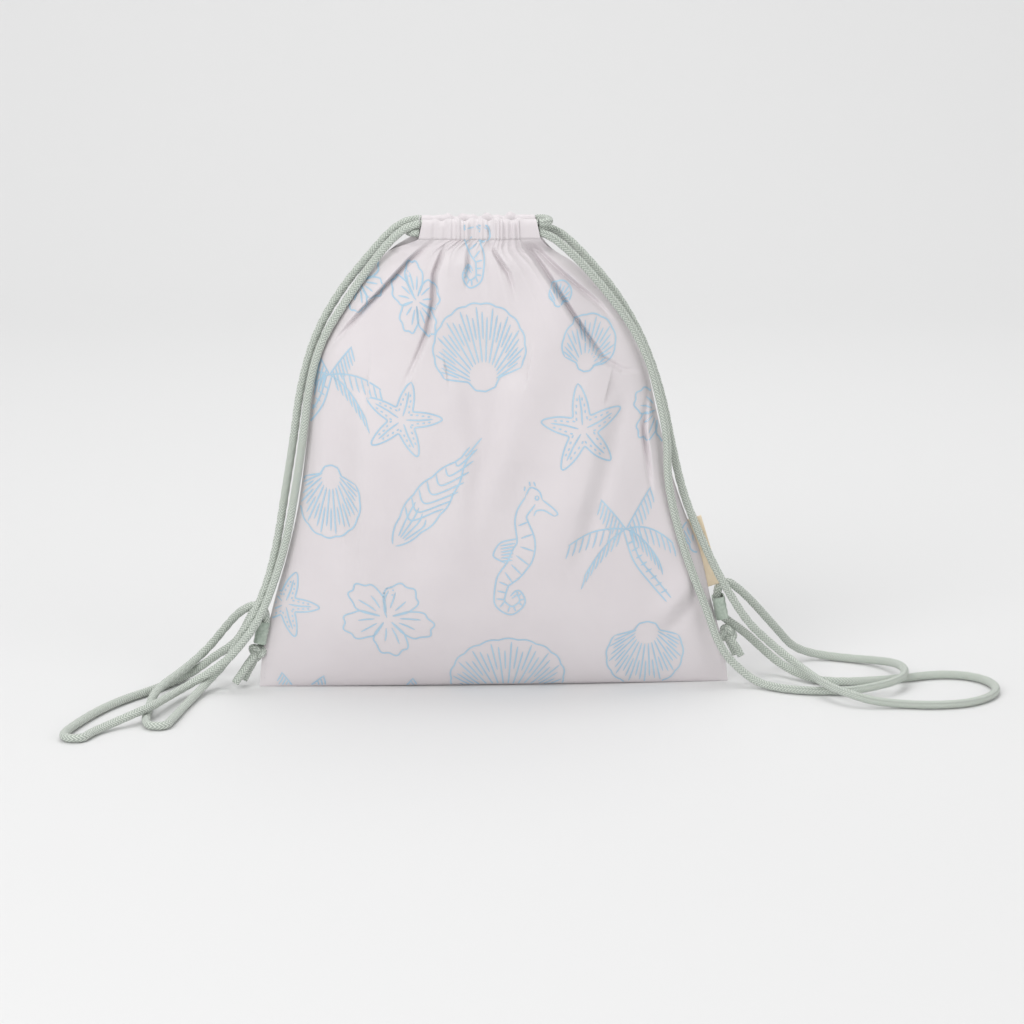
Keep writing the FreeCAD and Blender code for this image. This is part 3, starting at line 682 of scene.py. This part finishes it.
# ---------------------------------------------------------------- cords
ROUTES = {
    "left_strap_front": [
        (LEFT_EXIT_X, -CASING_Y, 347.9), (-63, -12, 346), (-75, -10, 336), (-90, -8.5, 317), (-108, -7, 291),
        (-126, -6, 262), (-135, -5.5, 231), (-140, -5.5, 190), (-146.3, -5.5, 150), (-153, -6, 114),
        (-162, -7, 84), (-172, -10.5, 59), (-180, -13, 46), (-188, -14, 36), (-196, -14, 26.5),
        (-206, -13.5, 18.5), (-217, -16, 12), (-229, -26, 7.5), (-241, -57, 8.5), (-249, -83, 10.2),
        (-261, -99, 9.2), (-276, -108, 5), (-287, -120, 3.4), (-292.3, -130.5, 3.4),
        (-294.5, -137.5, 3.4), (-300.6, -139.8, 3.4), (-306.7, -137.6, 3.4), (-309.9, -131.9, 3.4),
        (-307.5, -119, 3.4), (-300, -97, 3.4), (-289, -70, 3.4), (-273, -42, 3.4), (-254, -19, 3.4),
        (-239, 4, 3.4), (-229, 20, 4), (-219, 25, 9.4), (-209, 21, 18), (-200, 15, 25), (-192, 11.5, 32),
        (-186.5, 8.5, 41), (-182.5, 5, 50), (-178, -0.5, 59.5), (-167.5, -3.4, 55), (-171, -3.4, 42)],
    "left_strap_back": [
        (LEFT_EXIT_X, CASING_Y, 347.9), (-62, 12, 347.5), (-74, 8, 341), (-92, 4, 321.5), (-113, 2.5, 296),
        (-131, 2, 264), (-142, 2, 225), (-147, 2, 188), (-154, 2, 147), (-160, 0.5, 111),
        (-167, -3.5, 83), (-175.5, -7, 62.5), (-182.5, -8, 49), (-189, -5.5, 39), (-195.5, -3, 26),
        (-203, -2, 15.5), (-212, -10, 8), (-220, -31, 4.2), (-228.5, -64, 3.4), (-232.3, -84, 3.4),
        (-235.8, -98, 3.4), (-237.3, -108, 3.4), (-242, -111.7, 3.4), (-248, -111.2, 3.4),
        (-252, -106.7, 3.4), (-253.4, -98, 3.4), (-254, -83, 3.4), (-253, -65, 4.2), (-251, -46, 8),
        (-244.5, -26, 10.2), (-236, -3, 10.6), (-225, 24, 13), (-213, 30, 23), (-201, 25, 39),
        (-192, 17, 51), (-184.5, 10, 58), (-177, 6, 61.5), (-168, 3.4, 55.5), (-171, 3.4, 44.5)],
    "right_strap_front": [
        (RIGHT_EXIT_X, -CASING_Y, 341.1), (39, -12, 339.5), (50, -11, 331), (66, -9.5, 315.5), (84, -9, 294),
        (100.5, -9, 271.5), (113.5, -9, 245), (121, -9, 217), (127, -10.5, 188), (126.5, -12, 160),
        (133, -13, 127), (144.5, -13, 90), (157.2, -14, 58.5), (164.5, -15, 36.5), (172.5, -16, 23),
        (182, -17, 13.5), (191, -19.5, 6.5), (200, -25, 3.4), (214, -36, 3.4), (232, -42, 3.4),
        (252, -43, 3.4), (268, -44, 4.6), (282, -46, 8), (294, -43, 10.2), (303, -29, 10.4),
        (307, -8, 10.2), (304, 15, 8), (294, 34, 4.8), (277, 45, 3.4), (257, 54, 3.4), (240, 56, 6.5),
        (228, 49, 14), (218, 39, 27), (206, 29, 42), (193, 19, 58), (182, 11, 69.5), (173.5, 6.5, 76),
        (165.5, 4.8, 71), (167, 3.4, 60)],
    "right_strap_back": [
        (RIGHT_EXIT_X, CASING_Y, 341.1), (41, 12, 341.5), (53, 9, 335), (69, 5.5, 319), (89, 4, 295),
        (106, 3.5, 266.5), (118, 3, 236), (125.5, 2, 209), (130.5, 1, 183), (139, -1, 146),
        (150.5, -4.2, 117), (163, -5, 90), (175, -6.5, 68), (189, -4, 46), (204, 0.5, 31),
        (216, -1.5, 21), (227, -14, 14.5), (235, -32, 11.6), (243, -53, 10.4), (255, -71, 9.6),
        (272, -78, 5.6), (293, -79, 3.4), (314, -83, 3.4), (336, -81, 3.4), (354, -71, 3.4),
        (367, -54, 3.4), (371, -34, 3.4), (365, -15, 3.4), (350, -3, 3.4), (330, -1.5, 3.4),
        (305, -10.5, 3.4), (280, -16.5, 3.4), (256, -18.5, 3.4), (239, -12, 3.4), (227, 1, 5),
        (215, 14, 9.5), (203, 21, 19), (191, 15, 31.5), (182, 7.5, 40), (175, 3.4, 45.5),
        (169, 1.3, 51)],
}


def route_line(points, spacing):
    """Points (metres) along the smooth line through a cord's route, evenly spaced."""
    data = bpy.data.curves.new("route", "CURVE")
    data.dimensions = "3D"
    spline = data.splines.new("NURBS")
    spline.points.add(len(points) - 1)
    for point, place in zip(spline.points, points):
        point.co = (*(c * MM for c in place), 1)
    spline.order_u = 3
    spline.use_endpoint_u = True
    data.resolution_u = 16
    carrier = bpy.data.objects.new("route", data)
    mesh = bpy.data.meshes.new_from_object(carrier)
    line = np.array([tuple(v.co) for v in mesh.vertices])
    bpy.data.objects.remove(carrier)
    bpy.data.curves.remove(data)
    bpy.data.meshes.remove(mesh)
    return even(line, spacing * MM)


def braid_tube(name, line, width, rounds=32, closed_ends=True):
    """A round braid along a line: two families of plaits that cross each other."""
    tangents = np.gradient(line, axis=0)
    tangents /= np.linalg.norm(tangents, axis=1)[:, None]
    normal = np.cross(tangents[0], (0.3, 0.2, 1.0))
    normal /= np.linalg.norm(normal)
    angles = np.linspace(0, TAU, rounds, endpoint=False)
    vertices, uvs = [], []
    along = 0.0
    for i, (point, heading) in enumerate(zip(line, tangents)):
        if i:
            along += np.linalg.norm(point - line[i - 1])
        normal = normal - heading * normal.dot(heading)
        normal /= np.linalg.norm(normal)
        other = np.cross(heading, normal)
        turn = along * TAU / PLAIT_LEAD
        plait = np.maximum(np.cos(4 * angles + turn), np.cos(4 * angles - turn))
        ridges = 0.5 + 0.5 * np.cos(2 * angles + 0.6)
        radius = width / 2 * MM * (0.885 + 0.055 * plait + 0.035 * ridges)
        outwards = np.cos(angles)[:, None] * normal + np.sin(angles)[:, None] * other
        vertices.append(point + radius[:, None] * outwards)
        uvs.append(np.stack([angles / TAU * CORD_ROUND, np.full(rounds, along)], -1))
    vertices = np.concatenate(vertices)
    faces = grid_faces(len(line), rounds, closed=True)
    if closed_ends:
        faces.append(tuple(range(rounds))[::-1])
        faces.append(tuple(range((len(line) - 1) * rounds, len(line) * rounds)))
    return mesh_object(name, vertices, faces, CORD, np.concatenate(uvs))


def knot_line(centre, lean, turn):
    """An overhand knot pulled up small: a trefoil drawn out along its axis."""
    t = np.linspace(0, TAU, 160)
    x = (np.sin(t) + 2 * np.sin(2 * t)) * 1.55
    y = (np.cos(t) - 2 * np.cos(2 * t)) * 1.75
    z = -np.sin(3 * t) * 2.6
    a, b = math.radians(turn), math.radians(lean)
    x, y = x * math.cos(a) - y * math.sin(a), x * math.sin(a) + y * math.cos(a)
    y, z = z, y
    x, z = x * math.cos(b) + z * math.sin(b), -x * math.sin(b) + z * math.cos(b)
    return (np.stack([x, y, z], -1) + np.array(centre)) * MM


# Centre, lean and turn of each knot.
KNOTS = {"left": ((-176.5, 0, 26.5), 25, 12), "right": ((174, 0, 36.5), -30, 40)}
KNOT_CORD_WIDTH = 5.6
TAILS = {
    "left_cord_tail_front": [(-178, -3, 25), (-181.5, -4.5, 21.5), (-188, -7.5, 12), (-193, -9, 5.2)],
    "left_cord_tail_back": [(-177, 2, 25), (-178.5, 3, 20.5), (-183, 3.5, 12), (-187, 3, 4.6)],
    "right_cord_tail_front": [(175, -3, 34.5), (178, -4, 31), (181.5, -5.2, 25.5), (184, -6, 21)],
    "right_cord_tail_back": [(174.5, 3, 33.5), (176, 4, 30), (179, 5, 24), (181, 5, 19.5)],
}
ends = {}
for side, (centre, lean, turn) in KNOTS.items():
    winding = even(knot_line(centre, lean, turn), 0.6 * MM)
    knot = braid_tube(side + "_knot_wound", winding, KNOT_CORD_WIDTH, 24, closed_ends=False)
    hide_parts(side + "_knot")
    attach(knot, "bag")
    ends[side] = [knot]
for name, points in TAILS.items():
    tail = braid_tube(name + "_braid", route_line(points, 0.6), CORD_WIDTH * 0.97)
    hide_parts(name)
    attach(tail, "bag")
    ends[name.split("_")[0]].append(tail)


# ---------------------------------------------------------------- stitches and seam bindings
CASING_SEAM_Z = 338.2
BINDING_INSET = 11.0


def dashes(points, stitch=2.4, gap=1.1):
    """Short stitches along a line of (x, z)."""
    line = even(np.stack([points[:, 0], points[:, 1], 0 * points[:, 0]], -1), 0.1)[:, :2]
    step = int((stitch + gap) / 0.1)
    used = int(stitch / 0.1)
    return [line[i:i + used:4] for i in range(0, len(line) - used, step)]


SEAMS = (("left", left_edge, 1), ("right", right_edge, -1))
for name, side in (("front", -1), ("back", 1)):
    xs = np.linspace(-51, 29, 60)
    places = dashes(np.stack([xs, 0 * xs + CASING_SEAM_Z], -1))
    seam = ribbons(name + "_casing_seam_stitches", side, places, 0.45, 0.16, THREAD)
    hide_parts(name + "_casing_stitching")
    zs = np.linspace(6, 314, 80)
    for hand, edge, sign in SEAMS:
        places = dashes(np.stack([edge(zs) + sign * 3.2, zs], -1))
        topstitch = ribbons("%s_%s_side_topstitch" % (name, hand), side, places, 0.4, 0.12, THREAD)

for hand, edge, sign in SEAMS:
    zs = np.linspace(64, 261, 160)
    rows = []
    for z in zs:
        out = 1.2 * math.sin(z * 2.1)
        x = edge(z) + sign * BINDING_INSET
        rows.append((x, -out * 0.5 - 0.4, z))
        rows.append((x + sign * 3.4, out * 0.3, z))
        rows.append((x + sign * 6.8, 0.4 + out * 0.5, z))
    faces = grid_faces(len(zs), 3)
    binding = mesh_object(hand + "_seam_binding_thread", np.array(rows) * MM, faces, THREAD)
    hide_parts(hand + "_seam_binding")
    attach(binding, "bag")

# ---------------------------------------------------------------- straps, turns and runs
EXIT_Z = {"left": 347.9, "right": 341.1}
for name, points in ROUTES.items():
    side, _, face = name.split("_")
    line = route_line(points, 0.62)
    strap = braid_tube(name + "_braid", line, CORD_WIDTH)
    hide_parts(name)
    sign = -1 if face == "front" else 1
    x = points[0][0] * MM
    out = -1 if side == "left" else 1
    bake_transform(strap)


def make_turn(side, x, out):
    """A cord's way round the mouth's end, in two halves, a front one and a back one."""
    z = EXIT_Z[side]
    whole = route_line([(x, -CASING_Y, z), (x + out * 6, -11, z), (x + out * 8.5, 0, z),
                        (x + out * 6, 11, z), (x, CASING_Y, z)], 0.6)
    half = len(whole) // 2 + 1
    for face, sign, line in (("front", -1, whole[:half]), ("back", 1, whole[half - 1:])):
        turn = braid_tube("%s_cord_turn_%s_half" % (side, face), line, CORD_WIDTH)
        if face == "front":
            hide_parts(side + "_cord_turn")
        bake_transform(turn)


def make_run(side, face, sign, dip):
    """A cord's stretch inside a casing, a little thinner so that the cloth covers it."""
    z = EXIT_Z[side]
    y = sign * CASING_Y
    line = route_line([(-53.4, y, z), (-50, y, z), (-44, y, z - dip),
                       (22, y, z - dip), (28, y, z), (31.4, y, z)], 0.6)
    run = braid_tube("%s_cord_%s_run_braid" % (side, face), line, CORD_WIDTH * 0.86)
    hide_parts("%s_cord_%s_run" % (side, face))
    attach(run, face + "_lip")


for side, x, out, dip in (("left", RIGHT_EXIT_X, 1, 1.6), ("right", LEFT_EXIT_X, -1, 0.3)):
    make_turn(side, x, out)
    for face, sign in (("front", -1), ("back", 1)):
        make_run(side, face, sign, dip)

# ---------------------------------------------------------------- tabs and label
TAB_HEIGHT = 17.0
LABEL_WIDTH = 10.5
LABEL_HEIGHT = 54


def make_tab(name, centre, lean):
    """Folded tape: a flattened loop with its two ends sewn into the seam."""
    around, rows = 48, 36
    vertices, uvs = [], []
    a = math.radians(lean)
    for i in range(rows):
        h = (i / (rows - 1) - 0.5) * TAB_HEIGHT
        for j in range(around):
            t = TAU * j / around
            x = 4.7 * math.copysign(abs(math.cos(t)) ** 0.45, math.cos(t))
            y = 6.8 * math.copysign(abs(math.sin(t)) ** 0.6, math.sin(t))
            x += 0.15 * math.sin(h * 1.3 + t)
            y *= 1 + 0.04 * math.sin(h * 0.35)
            vertices.append((centre[0] + x * math.cos(a) + h * math.sin(a), y,
                             centre[2] - x * math.sin(a) + h * math.cos(a)))
            uvs.append((j / around * 0.04, h * MM))
    obj = mesh_object(name, np.array(vertices) * MM, grid_faces(rows, around, closed=True), TAPE, uvs)
    thick = obj.modifiers.new("thickness", "SOLIDIFY")
    thick.thickness = 0.9 * MM
    thick.offset = -1
    return obj


for side, x, z, lean in (("left", -172.6, 42.5, 11.5), ("right", 168.3, 57.5, -11.5)):
    tab = make_tab(side + "_tab_tape", (x, 0, z), lean)
    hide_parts(side + "_tab")
    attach(tab, "bag")


def make_label():
    """Blank ribbon label, slightly curled."""
    rows, columns = 60, 14
    a = math.radians(-17)
    vertices = []
    for i in range(rows):
        h = (i / (rows - 1) - 0.5) * LABEL_HEIGHT
        for j in range(columns):
            w = (j / (columns - 1) - 0.5) * LABEL_WIDTH
            bow = 0.35 * math.cos(h / 11) + 0.02 * (w + LABEL_WIDTH / 2) ** 1.4
            vertices.append((156.2 + w * math.cos(a) + h * math.sin(a), 1.0 + bow - 0.3,
                             100 - w * math.sin(a) + h * math.cos(a)))
    obj = mesh_object("side_label_ribbon", np.array(vertices) * MM, grid_faces(rows, columns), RIBBON)
    thick = obj.modifiers.new("thickness", "SOLIDIFY")
    thick.thickness = 0.6 * MM
    return obj


label = make_label()
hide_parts("side_label")
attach(label, "label")

# ---------------------------------------------------------------- scene
camera_data = bpy.data.cameras.new("camera")
camera_data.lens = 119
camera_data.sensor_width = 36
camera = bpy.data.objects.new("camera", camera_data)
bpy.context.scene.collection.objects.link(camera)
azimuth, elevation = math.radians(-2.5), math.radians(13)
target = Vector((0.0130875, 0, 0.1313737))
level = math.cos(elevation)
away = Vector((math.sin(azimuth) * level, -math.cos(azimuth) * level, math.sin(elevation)))
camera.location = target + away * 2.5
camera.rotation_euler = (-away).to_track_quat("-Z", "Y").to_euler()
bpy.context.scene.camera = camera

sweep = [(-8.0, 0.0), (1.6, 0.0)]
for step in range(1, 19):
    bend = math.radians(5 * step)
    sweep.append((1.6 + 1.6 * math.sin(bend), 1.6 - 1.6 * math.cos(bend)))
sweep.append((3.2, 6.0))
corners = [(x, y, z) for y, z in sweep for x in (-8, 8)]
floor = mesh_object("floor", corners, grid_faces(len(sweep), 2), FLOOR)


def area_light(name, place, size, power, aim=(0, 0, 0.15)):
    data = bpy.data.lights.new(name, "AREA")
    data.shape = "DISK"
    data.size = size
    data.energy = power
    light = bpy.data.objects.new(name, data)
    light.location = place
    light.rotation_euler = (Vector(aim) - Vector(place)).to_track_quat("-Z", "Y").to_euler()
    bpy.context.scene.collection.objects.link(light)


area_light("key", (-1.4, -1.9, 1.8), 2.0, 36)
area_light("fill", (1.9, -1.4, 1.0), 1.6, 8)
area_light("back", (0.3, 1.0, 2.2), 1.6, 10)
area_light("backdrop", (0, 0.6, 3.6), 2.0, 30, aim=(0, 3.2, 1.6))
world = bpy.data.worlds.new("world")
world.use_nodes = True
world.node_tree.nodes["Background"].inputs["Color"].default_value = (1, 1, 1, 1)
world.node_tree.nodes["Background"].inputs["Strength"].default_value = 0.66
bpy.context.scene.world = world
bpy.context.scene.view_settings.view_transform = "Standard"

# Each casing is the turned-over top edge of its panel; here each panel's placement is baked into its mesh.
for obj, side, face in ((front, -1, "front"), (back, 1, "back")):
    bend_with_lip(obj)
